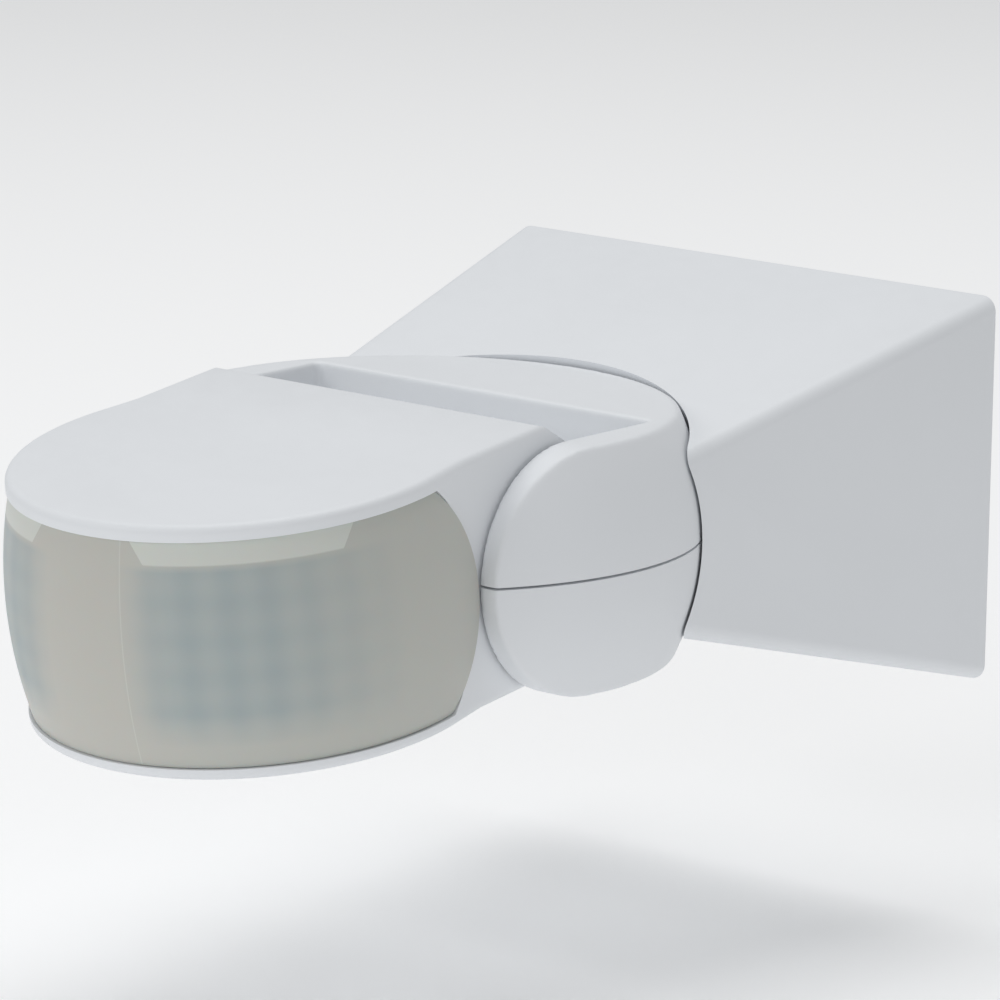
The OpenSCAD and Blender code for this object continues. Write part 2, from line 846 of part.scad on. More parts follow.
module light_cell() {
  color("orangered") in_head() translate([7.6, sensor_y, 9]) {
    rod_y(2.5, -2, 0);
    for (sx = [-1, 1]) translate([sx * 1.3, 0, 0]) rod_y(0.2, -2.6, 0);
  }
}

module status_led() {
  color("red") in_head() translate([-7.6, sensor_y, 9]) {
    rod_y(1.5, -3, 0);
    translate([0, -3, 0]) sphere(r = 1.5);
    rod_y(1.9, -0.8, 0);
  }
}

module relay() {
  color("royalblue") in_head() difference() {
    block([-18.6, -13, board_top], [-3.2, 4.6, board_top + 12.2]);
    block([-18, -12.4, board_top + 11.9], [-3.8, 4, board_top + 13]);
  }
}

module film_capacitor() {
  color("gold") in_head()
    block([3.6, -14.6, board_top], [16.6, -6.6, board_top + 13]);
}

module storage_capacitor() {
  color("midnightblue") in_head() translate([7.6, -1.6, board_top]) {
    difference() {
      cylinder(r = 4, h = 11);
      translate([0, 0, 1.6]) rotate_extrude() translate([4.1, 0]) circle(r = 0.4, $fn = 24);
    }
  }
}

module trimmers() {
  color("lightskyblue") in_head() knob_places() difference() {
    translate([0, 0, board_z - trimmer_h / 2]) cube([8.6, 8.6, trimmer_h], center = true);
    translate([0, 0, board_z - trimmer_h - 1]) cylinder(r = shaft_r + 0.05, h = trimmer_h + 2);
  }
}

module knob(index) {
  bottom = -head_bottom - knob_proud;
  disc_top = board_z - trimmer_h - 0.3;
  in_head() translate([index * knob_pitch, -knob_reach, 0]) difference() {
    union() {
      translate([0, 0, bottom]) cylinder(r = knob_r, h = -head_bottom + cover_t - bottom);
      translate([0, 0, bottom]) cylinder(r = knob_r - 1.2, h = disc_top - bottom);
      translate([0, 0, bottom]) cylinder(r = shaft_r, h = board_z + 0.6 - bottom);
    }
    // slot for a screwdriver, with a pointer at one end
    block([-0.6, -knob_r + 0.9, bottom - 1], [0.6, knob_r - 0.9, bottom + 0.9]);
    translate([0, -knob_r + 1.3, bottom - 1]) cylinder(r = 1, h = 1.5);
  }
}

module time_knob() { color("gainsboro") knob(-1); }
module light_knob() { color("gainsboro") knob(0); }
module range_knob() { color("gainsboro") knob(1); }

plug_x = [12.6, 17];

module lead_plug() {
  color("ivory") in_head() difference() {
    block([plug_x[0], 3.2 - 5.6, board_top], [plug_x[1], 2.4, lead_pitch + 1.6]);
    for (i = [-1 : 1]) translate([0, 0, i * lead_pitch]) rod_x(lead_r + 0.05, plug_x[1] - 2, far);
  }
}

module head_leads() {
  in_head() for (i = [0 : 2])
    color(["saddlebrown", "royalblue", "firebrick"][i])
      translate([0, 0, (i - 1) * lead_pitch])
        rod_x(lead_r, plug_x[1] - 1.8, head_w / 2 - 0.3, $fn = 24);
}

base_housing();
back_plate();
wall_gasket();
cable_grommet();
terminal_block();
terminal_clamps();
terminal_screws();
block_screws();
housing_screws();
base_leads();
yoke_upper();
yoke_lower();
yoke_screws();
swivel_shoe();
swivel_pad();
swivel_screws();
yoke_leads();
head_shell();
head_cover();
head_seal();
head_screws();
lens();
lens_frame();
pivot_rings();
main_board();
board_screws();
sensor_board();
pir_sensor();
pir_window();
light_cell();
status_led();
relay();
film_capacitor();
storage_capacitor();
trimmers();
lead_plug();
head_leads();
time_knob();
light_knob();
range_knob();
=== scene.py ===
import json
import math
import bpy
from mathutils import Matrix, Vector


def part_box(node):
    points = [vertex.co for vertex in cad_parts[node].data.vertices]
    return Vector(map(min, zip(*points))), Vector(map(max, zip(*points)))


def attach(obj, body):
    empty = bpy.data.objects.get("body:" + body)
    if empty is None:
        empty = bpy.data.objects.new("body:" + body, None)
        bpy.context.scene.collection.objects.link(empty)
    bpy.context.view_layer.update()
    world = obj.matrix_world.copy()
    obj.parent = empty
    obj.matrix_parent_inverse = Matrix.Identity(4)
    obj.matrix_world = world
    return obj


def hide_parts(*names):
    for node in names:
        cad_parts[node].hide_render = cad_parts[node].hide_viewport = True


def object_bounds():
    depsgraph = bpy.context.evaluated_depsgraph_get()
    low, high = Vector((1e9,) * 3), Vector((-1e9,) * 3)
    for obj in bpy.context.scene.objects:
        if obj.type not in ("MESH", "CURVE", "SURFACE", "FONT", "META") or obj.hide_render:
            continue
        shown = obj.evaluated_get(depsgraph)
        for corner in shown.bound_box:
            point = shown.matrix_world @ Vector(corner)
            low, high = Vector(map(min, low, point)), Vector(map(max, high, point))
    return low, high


bl_info = {
    "name": "Wall Motion Sensor",
    "version": (1, 0, 0),
    "blender": (4, 5, 0),
    "location": "3D View > Sidebar > Motion Sensor",
    "description": "Builds the outer skins, finishes and studio for a wall mounted motion sensor",
    "category": "Add Mesh",
}

import bmesh
import bpy
from mathutils import Matrix, Vector

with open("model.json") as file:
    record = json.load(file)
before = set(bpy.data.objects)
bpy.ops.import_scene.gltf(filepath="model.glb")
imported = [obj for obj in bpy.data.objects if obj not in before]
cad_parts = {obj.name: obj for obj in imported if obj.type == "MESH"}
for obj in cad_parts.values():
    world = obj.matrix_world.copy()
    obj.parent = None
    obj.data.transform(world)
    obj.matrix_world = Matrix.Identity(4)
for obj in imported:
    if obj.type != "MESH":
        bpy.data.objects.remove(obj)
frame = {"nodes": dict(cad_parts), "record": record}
CAD_BOX = [list(corner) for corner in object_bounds()]

MM = 0.001
JOINTS = {j["name"]: j for j in frame["record"]["behaviour"]["joints"]}
SWIVEL = Vector(JOINTS["swivel"]["pos_m"]) / MM
TILT = Vector(JOINTS["tilt"]["pos_m"]) / MM
KNOB_AXIS = Vector(JOINTS["light_knob_turn"]["axis"])
HEAD = Matrix.Translation(TILT) @ Matrix.Rotation(math.atan2(-KNOB_AXIS.y, KNOB_AXIS.z), 4, "X")

# Skin sizes in millimetres, as the frame has them
HOUSING_HALF_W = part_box("base_housing")[1].x / MM
HOUSING_HALF_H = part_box("base_housing")[1].z / MM
EAR_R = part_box("yoke_upper")[1].z / MM
BALL_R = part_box("yoke_upper")[1].x / MM
SOCKET_R = BALL_R + 0.35
SLOT_HALF = 25.6
SLOT_BACK = 15.6
SEAM = 0.3
SIDE_TAPER = math.tan(math.radians(8.4))
ROOF_TAPER = math.tan(math.radians(14.3))
HOUSING_WALL = 2.2
HOUSING_SCREWS = ((-25.0, -9.5), (25.0, -9.5))
NECK_HALF_W = 4.5
NECK_HALF_H = 6.0
NECK_END = 38.1
NECK_SLOT_HALF_H = 6.5
NECK_SLOT_ANGLE = 38.4
YOKE_SCREWS = ((-12.0, 21.0), (12.0, 21.0))
TONGUE_INSET = 0.9
SKIN_STEP = 0.33
PIVOT_R = 5.0
PIVOT_BORE_R = 3.2
PIVOT_END = 28.5
COVER_INSET = 3.3
COVER_END = -6.9
NOSE_R = 26.4
NOSE_REACH = 24.4
TAIL_HALF = 25.25
SHOULDER = 14.85
HEAD_TOP = 17.0
HEAD_BOTTOM = 12.6
HEAD_WALL = 1.8
LENS_TOP = 15.2
LENS_BOTTOM = -11.2
PLATE_SETBACK = 1.2
WINDOW_R = 17.9
LENS_RIM_R = NOSE_R - 0.4
LENS_BULGE = 1.7
LENS_WALL = 0.9
FLANK = math.atan2(NOSE_REACH - SHOULDER, TAIL_HALF) - math.acos(
    NOSE_R / math.hypot(NOSE_REACH - SHOULDER, TAIL_HALF)
)

# The studio, in metres and degrees: each light's name, place, size and power
LIGHTS = (
    ("overhead", (-0.15, 0.1, 1.1), 0.9, 6.3),
    ("front", (-0.45, -1.3, 0.6), 0.6, 3.2),
    ("side", (0.9, -1.2, 0.8), 0.6, 2.0),
)
SKY = 0.34
FLOOR_GAP = 0.03
CAMERA_PLACE = (0.4505, -0.5843, 0.1528)
CAMERA_AZIMUTH = 40.02
CAMERA_ELEVATION = 12.25
CAMERA_ROLL = 0.76
SENSOR_W = 36.0
CAMERA_LENS = 6.0507 * SENSOR_W

# Turns an outline drawn in Y and Z into one that is extruded along X
SIDEWAYS = Matrix(((0, 0, 1, 0), (1, 0, 0, 0), (0, 1, 0, 0), (0, 0, 0, 1)))


# ---------- mesh helpers ----------


def as_object(name, bm, matrix=None):
    """A new object from a bmesh, in millimetres until it is placed"""
    if matrix is not None:
        bmesh.ops.transform(bm, matrix=matrix, verts=bm.verts)
    bmesh.ops.recalc_face_normals(bm, faces=bm.faces)
    mesh = bpy.data.meshes.new(name)
    bm.to_mesh(mesh)
    bm.free()
    obj = bpy.data.objects.new(name, mesh)
    bpy.context.scene.collection.objects.link(obj)
    return obj


def bake_modifiers(obj):
    """Turns an object's modifiers into its mesh"""
    graph = bpy.context.evaluated_depsgraph_get()
    mesh = bpy.data.meshes.new_from_object(obj.evaluated_get(graph))
    old = obj.data
    obj.modifiers.clear()
    obj.data = mesh
    bpy.data.meshes.remove(old)


def cut(obj, tool, operation="DIFFERENCE"):
    """A boolean with another object, which is used up"""
    modifier = obj.modifiers.new("Cut", "BOOLEAN")
    modifier.operation = operation
    modifier.solver = "EXACT"
    modifier.object = tool
    bake_modifiers(obj)
    mesh = tool.data
    bpy.data.objects.remove(tool)
    bpy.data.meshes.remove(mesh)
    if not obj.data.polygons:
        raise RuntimeError(f"the boolean on {obj.name} left nothing")


def settle(obj, material, body, replaces, sharp=30.0):
    """Scales a finished piece to metres, shades it, and ties it to its body"""
    obj.data.transform(Matrix.Scale(MM, 4))
    obj.data.polygons.foreach_set("use_smooth", [True] * len(obj.data.polygons))
    obj.data.set_sharp_from_angle(angle=math.radians(sharp))
    obj.data.update()
    obj.data.materials.clear()
    obj.data.materials.append(material)
    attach(obj, body)
    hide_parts(*replaces)


def prism(name, outline, low, high, matrix=None, soften=0.0, rows=5):
    """An outline extruded from low to high, with its two end edges rounded by soften"""
    bm = bmesh.new()
    face = bm.faces.new([bm.verts.new((x, y, low)) for x, y in outline])
    grown = bmesh.ops.extrude_face_region(bm, geom=[face])
    top = [e for e in grown["geom"] if isinstance(e, bmesh.types.BMVert)]
    bmesh.ops.translate(bm, verts=top, vec=(0, 0, high - low))
    bmesh.ops.recalc_face_normals(bm, faces=bm.faces)
    if soften:
        ends = [e for e in bm.edges if abs(e.verts[0].co.z - e.verts[1].co.z) < 1e-4]
        bmesh.ops.bevel(
            bm, geom=ends, offset=soften, offset_type="OFFSET", segments=rows,
            profile=0.5, affect="EDGES", clamp_overlap=False, material=-1,
        )
    return as_object(name, bm, matrix)


def box_tool(low, high, matrix=None):
    """A plain box between two corners, for cutting with"""
    bm = bmesh.new()
    bmesh.ops.create_cube(bm, size=1.0)
    low, high = Vector(low), Vector(high)
    bmesh.ops.scale(bm, vec=high - low, verts=bm.verts)
    bmesh.ops.translate(bm, vec=(low + high) / 2, verts=bm.verts)
    return as_object("tool", bm, matrix)


def ball_tool(radius, centre):
    """A fine ball, for cutting with"""
    bm = bmesh.new()
    bmesh.ops.create_uvsphere(bm, u_segments=192, v_segments=96, radius=radius)
    bmesh.ops.translate(bm, vec=centre, verts=bm.verts)
    return as_object("tool", bm)


def rod_tool(radius, low, high, centre, matrix=None, segments=48):
    """An upright cylinder, for cutting with"""
    bm = bmesh.new()
    bmesh.ops.create_cone(
        bm, cap_ends=True, segments=segments, radius1=radius, radius2=radius, depth=high - low
    )
    bmesh.ops.translate(bm, vec=(centre[0], centre[1], (low + high) / 2), verts=bm.verts)
    return as_object("tool", bm, matrix)


def keep_flat(bm, height, side):
    """Cuts a closed mesh level at a height, keeps the upper (1) or lower (-1) side, and closes it"""
    bmesh.ops.bisect_plane(
        bm, geom=bm.verts[:] + bm.edges[:] + bm.faces[:], dist=1e-5,
        plane_co=(0, 0, height), plane_no=(0, 0, side), clear_inner=True, clear_outer=False,
    )
    bmesh.ops.holes_fill(bm, edges=[e for e in bm.edges if e.is_boundary], sides=0)


def arc(centre, radius, start, end, count):
    """Points on an arc, with its angles in degrees"""
    return [
        (
            centre[0] + radius * math.cos(math.radians(start + (end - start) * i / count)),
            centre[1] + radius * math.sin(math.radians(start + (end - start) * i / count)),
        )
        for i in range(count + 1)
    ]


# ---------- outlines ----------


def head_outline(grow, end):
    """The head seen from above, moved out by grow, as far back as end"""
    radius = NOSE_R + grow
    half = TAIL_HALF + grow
    bend = (radius - half * math.cos(FLANK)) / math.sin(FLANK) - NOSE_REACH
    degrees = math.degrees(FLANK)
    nose = arc((0, -NOSE_REACH), radius, degrees, -180 - degrees, 120)
    return [(half, end), (half, bend), *nose, (-half, bend), (-half, end)]


def head_side_outline(radius, top, back):
    """The head seen from the side: flat top, sloping back and round tail"""
    tangent = math.atan2(top, back) - math.acos(radius / math.hypot(back, top))
    slope = Vector((radius * math.cos(tangent) - back, radius * math.sin(tangent) - top)).normalized()
    start = Vector((back - 0.5, top))
    finish = Vector((back, top)) + slope * 0.5
    tail = arc((0, 0), radius, math.degrees(tangent), -90, 40)
    return [(-90, -radius), (-90, top), tuple(start), tuple(finish), *tail]


def window_outline(grow):
    """The lens opening seen from the side, moved out by grow"""
    centre = (-SHOULDER - WINDOW_R, (LENS_TOP + LENS_BOTTOM) / 2)
    half = (LENS_TOP - LENS_BOTTOM) / 2 + grow
    radius = WINDOW_R + grow
    swing = math.degrees(math.asin(half / radius))
    rear = arc(centre, radius, swing, -swing, 48)
    return [(-90, centre[1] + half), *rear, (-90, centre[1] - half)]


# ---------- materials ----------


def new_material(name):
    """An empty node material, its tree and its main shader"""
    material = bpy.data.materials.new(name)
    material.use_nodes = True
    tree = material.node_tree
    shader = tree.nodes["Principled BSDF"]
    return material, tree, shader


def node(tree, kind, **values):
    """A shader node with its properties and named inputs set"""
    made = tree.nodes.new(kind)
    for key, value in values.items():
        if key in made.inputs:
            made.inputs[key].default_value = value
        else:
            setattr(made, key, value)
    return made


def object_points(tree):
    """The object coordinates of a surface, in metres"""
    return node(tree, "ShaderNodeTexCoord").outputs["Object"]


def mixed(tree, factor, first, second, mode="MIX"):
    """A colour between two others; a colour given as numbers is set on the socket"""
    made = node(tree, "ShaderNodeMix", data_type="RGBA", blend_type=mode)
    for socket, value in (("Factor", factor), ("A", first), ("B", second)):
        ends = [s for s in made.inputs if s.name == socket and s.enabled]
        if isinstance(value, bpy.types.NodeSocket):
            tree.links.new(value, ends[0])
        elif socket == "Factor":
            ends[0].default_value = value
        else:
            ends[0].default_value = (*value, 1.0)
    return [s for s in made.outputs if s.enabled][0]


def noise(tree, points, scale, detail=3.0, roughness=0.55):
    """A noise pattern, its scale in cycles per metre"""
    made = node(tree, "ShaderNodeTexNoise", Scale=scale, Detail=detail, Roughness=roughness)
    tree.links.new(points, made.inputs["Vector"])
    return made.outputs["Fac"]


def spread(tree, value, low, high, to_low=0.0, to_high=1.0):
    """Maps a value from one range to another"""
    made = node(tree, "ShaderNodeMapRange")
    made.inputs["From Min"].default_value = low
    made.inputs["From Max"].default_value = high
    made.inputs["To Min"].default_value = to_low
    made.inputs["To Max"].default_value = to_high
    tree.links.new(value, made.inputs["Value"])
    return made.outputs["Result"]


def calc(tree, operation, *values):
    """A math node on sockets or numbers"""
    made = node(tree, "ShaderNodeMath", operation=operation)
    for socket, value in zip(made.inputs, values):
        if isinstance(value, bpy.types.NodeSocket):
            tree.links.new(value, socket)
        else:
            socket.default_value = value
    return made.outputs[0]


def bumped(tree, shader, height, strength, distance):
    """Adds a bump to a shader"""
    made = node(tree, "ShaderNodeBump", Strength=strength, Distance=distance)
    tree.links.new(height, made.inputs["Height"])
    tree.links.new(made.outputs["Normal"], shader.inputs["Normal"])


def moulded_plastic(name, colour, roughness, grain=2600.0, depth=0.00002, tone=0.03, sheen=0.4):
    """Moulded plastic with a fine spark texture, faint flow marks and uneven gloss"""
    material, tree, shader = new_material(name)
    points = object_points(tree)
    flow = noise(tree, points, 38.0, 2.0)
    spark = noise(tree, points, grain, 3.0, 0.6)
    darker = [c * (1 - tone) for c in colour]
    lighter = [min(1.0, c * (1 + tone * 0.6)) for c in colour]
    tree.links.new(mixed(tree, flow, darker, lighter), shader.inputs["Base Color"])
    tree.links.new(
        spread(tree, noise(tree, points, 420.0), 0.3, 0.7, roughness - 0.04, roughness + 0.05),
        shader.inputs["Roughness"],
    )
    shader.inputs["Specular IOR Level"].default_value = sheen
    bumped(tree, shader, spark, 0.25, depth)
    return material


def worn_metal(name, colour, roughness, scale=900.0):
    """Plated metal with fine tool marks and duller patches"""
    material, tree, shader = new_material(name)
    points = object_points(tree)
    marks = noise(tree, points, scale, 5.0, 0.7)
    patches = noise(tree, points, 160.0, 3.0)
    darker = [c * 0.82 for c in colour]
    tree.links.new(mixed(tree, patches, darker, colour), shader.inputs["Base Color"])
    tree.links.new(
        spread(tree, marks, 0.3, 0.7, roughness - 0.08, roughness + 0.12), shader.inputs["Roughness"]
    )
    shader.inputs["Metallic"].default_value = 1.0
    bumped(tree, shader, marks, 0.2, 0.00003)
    return material


def soft_rubber(name, colour):
    """Matt moulded rubber with a dusty bloom"""
    material, tree, shader = new_material(name)
    points = object_points(tree)
    bloom = noise(tree, points, 240.0, 4.0)
    dusty = [min(1.0, c * 1.6 + 0.01) for c in colour]
    tree.links.new(mixed(tree, bloom, colour, dusty), shader.inputs["Base Color"])
    tree.links.new(spread(tree, bloom, 0.3, 0.7, 0.72, 0.9), shader.inputs["Roughness"])
    shader.inputs["Specular IOR Level"].default_value = 0.25
    bumped(tree, shader, noise(tree, points, 1800.0, 2.0), 0.3, 0.00004)
    return material


def circuit_laminate(name, colour):
    """Green resist over glass cloth, with paler copper runs and a fine weave"""
    material, tree, shader = new_material(name)
    points = object_points(tree)
    runs = node(tree, "ShaderNodeTexVoronoi", feature="DISTANCE_TO_EDGE", Scale=260.0, Randomness=0.2)
    tree.links.new(points, runs.inputs["Vector"])
    track = spread(tree, runs.outputs["Distance"], 0.1, 0.14, 1.0, 0.0)
    weave = node(tree, "ShaderNodeTexWave", Scale=520.0, Distortion=0.4)
    tree.links.new(points, weave.inputs["Vector"])
    darker = [c * 0.75 for c in colour]
    base = mixed(tree, weave.outputs["Fac"], darker, colour)
    copper = mixed(tree, track, base, [min(1.0, c * 1.8 + 0.02) for c in colour])
    tree.links.new(copper, shader.inputs["Base Color"])
    tree.links.new(spread(tree, track, 0.0, 1.0, 0.42, 0.28), shader.inputs["Roughness"])
    shader.inputs["Specular IOR Level"].default_value = 0.5
    bumped(tree, shader, track, 0.3, 0.00004)
    return material


def lead_sleeving(name, spacing):
    """Brown, blue and red sleeving, by the height of each lead"""
    material, tree, shader = new_material(name)
    points = object_points(tree)
    split = node(tree, "ShaderNodeSeparateXYZ")
    tree.links.new(points, split.inputs[0])
    height = split.outputs["Z"]
    low = calc(tree, "LESS_THAN", height, -spacing / 2)
    high = calc(tree, "GREATER_THAN", height, spacing / 2)
    colour = mixed(tree, low, (0.02, 0.09, 0.42), (0.2, 0.07, 0.03))
    colour = mixed(tree, high, colour, (0.42, 0.03, 0.02))
    wax = noise(tree, points, 700.0, 2.0)
    tree.links.new(mixed(tree, calc(tree, "MULTIPLY", wax, 0.2), colour, (0.5, 0.5, 0.5)),
                   shader.inputs["Base Color"])
    tree.links.new(spread(tree, wax, 0.3, 0.7, 0.3, 0.42), shader.inputs["Roughness"])
    bumped(tree, shader, wax, 0.15, 0.00003)
    return material


def milky_lens(name, settings):
    """Milky polyethylene: a soft grid of moulded lenslets, a flange strip and a mould line, with painted
    shade in the lenslet fields and their grooves
    """
    material, tree, shader = new_material(name)
    points = object_points(tree)
    shift = node(tree, "ShaderNodeMapping")
    shift.inputs["Location"].default_value = -TILT * MM
    tree.links.new(points, shift.inputs["Vector"])
    turn = node(tree, "ShaderNodeMapping")
    turn.inputs["Rotation"].default_value = (-math.atan2(-KNOB_AXIS.y, KNOB_AXIS.z), 0, 0)
    turn.inputs["Location"].default_value = (0, NOSE_REACH * MM, 0)
    tree.links.new(shift.outputs["Vector"], turn.inputs["Vector"])
    split = node(tree, "ShaderNodeSeparateXYZ")
    tree.links.new(turn.outputs["Vector"], split.inputs[0])
    around = calc(tree, "ARCTAN2", split.outputs["X"], calc(tree, "MULTIPLY", split.outputs["Y"], -1.0))
    height = split.outputs["Z"]

    # two fields of lenslets, one each side of the plain middle, their borders soft and darker with
    # painted shade
    away = calc(tree, "ABSOLUTE", around)
    step = math.radians(settings.lens_column_angle)
    wave = calc(tree, "COSINE", calc(tree, "MULTIPLY", around, 2 * math.pi / step))
    rise = calc(tree, "COSINE", calc(tree, "MULTIPLY", height, 2 * math.pi / settings.lens_row_height))
    lenslet_grooves_and_shade = calc(
        tree, "ADD", spread(tree, wave, -0.9, 1.0, 0.0, 0.62), spread(tree, rise, -0.9, 1.0, 0.0, 0.38)
    )
    lenslet_field_and_shade = calc(
        tree, "MULTIPLY",
        calc(tree, "MULTIPLY",
             spread(tree, away, math.radians(11), math.radians(24), 0.0, 1.0),
             spread(tree, away, math.radians(46), math.radians(82), 1.0, 0.0)),
        calc(tree, "MULTIPLY",
             spread(tree, height, -0.0085, -0.0045, 0.0, 1.0),
             spread(tree, height, 0.0118, 0.0126, 1.0, 0.0)),
    )
    lenslet_grooves_and_shade = calc(tree, "MULTIPLY", lenslet_grooves_and_shade, lenslet_field_and_shade)

    middle = spread(tree, away, math.radians(14), math.radians(30), 1.0, 0.0)
    colour = mixed(tree, middle, tuple(settings.lens_side), tuple(settings.lens_middle))
    # painted shade: the lenslet fields are tinted darker grey-blue, standing in for the shaded inside
    # seen through the lens
    colour = mixed(tree, calc(tree, "MULTIPLY", lenslet_field_and_shade, 0.9), colour, tuple(settings.lens_field_painted_shade))
    cloud = noise(tree, points, 60.0, 2.0)
    colour = mixed(tree, calc(tree, "MULTIPLY", cloud, 0.12), colour, (0.62, 0.64, 0.6))
    # painted shade: the grooves between lenslets are darkened towards grey-blue
    colour = mixed(tree, calc(tree, "MULTIPLY", lenslet_grooves_and_shade, 0.36), colour, (0.3, 0.37, 0.4))

    # a lighter flange strip under the top rim with slanted ends, and the line of the mould
    slant = calc(tree, "MULTIPLY", calc(tree, "SUBTRACT", height, 0.0125), 26.0)
    inner = calc(tree, "GREATER_THAN", calc(tree, "ADD", away, slant), math.radians(18.5))
    outer = calc(tree, "LESS_THAN", calc(tree, "SUBTRACT", away, slant), math.radians(67))
    strip = calc(tree, "MULTIPLY", spread(tree, height, 0.0125, 0.0127, 0.0, 1.0),
                 calc(tree, "MULTIPLY", inner, outer))
    line = spread(tree, calc(tree, "ABSOLUTE", calc(tree, "SUBTRACT", around, math.radians(12.2))),
                  0.001, 0.004, 1.0, 0.0)
    light = calc(tree, "MAXIMUM", calc(tree, "MULTIPLY", strip, 0.75), calc(tree, "MULTIPLY", line, 0.4))
    colour = mixed(tree, light, colour, (0.72, 0.73, 0.68))
    tree.links.new(colour, shader.inputs["Base Color"])

    tree.links.new(spread(tree, cloud, 0.3, 0.7, 0.34, 0.42), shader.inputs["Roughness"])
    shader.inputs["Specular IOR Level"].default_value = 0.35
    shader.inputs["Subsurface Weight"].default_value = 0.15
    shader.inputs["Subsurface Scale"].default_value = 0.004
    bumped(tree, shader, calc(tree, "SUBTRACT", line, lenslet_grooves_and_shade), 0.1, 0.0001)
    return material


def studio_floor(name, colour):
    """Pale seamless floor"""
    material, tree, shader = new_material(name)
    points = object_points(tree)
    soft = noise(tree, points, 2.0, 2.0)
    tree.links.new(mixed(tree, soft, [c * 0.99 for c in colour], colour), shader.inputs["Base Color"])
    shader.inputs["Roughness"].default_value = 0.9
    shader.inputs["Specular IOR Level"].default_value = 0.1
    shader.inputs["Emission Color"].default_value = (0.98, 0.99, 1.0, 1.0)
    shader.inputs["Emission Strength"].default_value = 0.14
    return material


FINISHES = {}


def finish_for(slot):
    """The material of a record slot, made once"""
    settings = bpy.context.scene.sensor_finish
    if slot not in FINISHES:
        white = tuple(settings.shell)
        makers = {
            "white_abs": lambda: moulded_plastic("White ABS", white, settings.shell_roughness),
            "black_rubber": lambda: soft_rubber("Black rubber", (0.016, 0.017, 0.018)),
            "natural_nylon": lambda: moulded_plastic("Natural nylon", (0.68, 0.66, 0.58), 0.42),
            "brass_metal": lambda: worn_metal("Turned brass", (0.72, 0.5, 0.2), 0.34),
            "zinc_steel": lambda: worn_metal("Zinc plated steel", (0.58, 0.59, 0.6), 0.32),
            "lead_insulation": lambda: lead_sleeving("Lead sleeving", 1.6 * MM),
            "milky_polyethylene": lambda: milky_lens("Milky lens", settings),
            "board_laminate": lambda: circuit_laminate("Board laminate", (0.015, 0.12, 0.05)),
            "nickel_can": lambda: worn_metal("Nickel can", (0.66, 0.63, 0.58), 0.2, 500.0),
            "dark_filter": lambda: moulded_plastic("Dark filter", (0.03, 0.025, 0.035), 0.15, sheen=0.7),
            "cell_ceramic": lambda: moulded_plastic("Light cell", (0.45, 0.12, 0.06), 0.5, tone=0.12),
            "red_led": lambda: moulded_plastic("Red lamp", (0.55, 0.03, 0.02), 0.15, sheen=0.6),
            "relay_blue": lambda: moulded_plastic("Relay case", (0.03, 0.12, 0.4), 0.45),
            "film_yellow": lambda: moulded_plastic("Capacitor case", (0.68, 0.45, 0.05), 0.3),
            "sleeve_black": lambda: moulded_plastic("Shrink sleeve", (0.012, 0.016, 0.04), 0.3),
            "grey_knob": lambda: moulded_plastic("Grey acetal", (0.5, 0.52, 0.54), 0.4),
        }
        FINISHES[slot] = makers[slot]()
    return FINISHES[slot]


# ---------- settings ----------


class SENSOR_PG_finish(bpy.types.PropertyGroup):
    """Sizes and colours of the skins"""

    shell: bpy.props.FloatVectorProperty(
        name="Shell colour", description="Colour of the moulded shells", subtype="COLOR",
        size=3, min=0.0, max=1.0, default=(0.84, 0.86, 0.885),
    )
    shell_roughness: bpy.props.FloatProperty(
        name="Shell roughness", description="Roughness of the moulded shells", subtype="FACTOR",
        min=0.1, max=0.95, default=0.52,
    )
    lens_middle: bpy.props.FloatVectorProperty(
        name="Lens middle", description="Colour of the lens at the nose", subtype="COLOR",
        size=3, min=0.0, max=1.0, default=(0.56, 0.545, 0.5),
    )
    # painted shade: this darker grey-blue stands in for the shaded inside seen through the lens where it
    # carries lenslets
    lens_field_painted_shade: bpy.props.FloatVectorProperty(
        name="Lenslet fields", description="Colour of the lens where it carries lenslets",
        subtype="COLOR", size=3, min=0.0, max=1.0, default=(0.42, 0.47, 0.465),
    )
    lens_side: bpy.props.FloatVectorProperty(
        name="Lens sides", description="Colour of the lens near the cheeks", subtype="COLOR",
        size=3, min=0.0, max=1.0, default=(0.54, 0.54, 0.5),
    )
    lens_column_angle: bpy.props.FloatProperty(
        name="Lenslet width", description="Angle round the nose that one lenslet takes, in degrees",
        min=4.0, max=30.0, default=9.6,
    )
    lens_row_height: bpy.props.FloatProperty(
        name="Lenslet height", description="Height of one row of lenslets", unit="LENGTH",
        min=0.001, max=0.01, default=0.0042,
    )
    plate_edge: bpy.props.FloatProperty(
        name="Plate edge", description="Rounding of the head's top and bottom edges, in millimetres",
        min=0.1, max=1.2, default=1.0,
    )
    yoke_softness: bpy.props.IntProperty(
        name="Yoke softness", description="Smoothing passes that round the yoke's edges",
        min=1, max=40, default=5,
    )
    floor: bpy.props.FloatVectorProperty(
        name="Floor colour", description="Colour of the studio floor", subtype="COLOR",
        size=3, min=0.0, max=1.0, default=(0.95, 0.95, 0.95),
    )


# ---------- pieces ----------


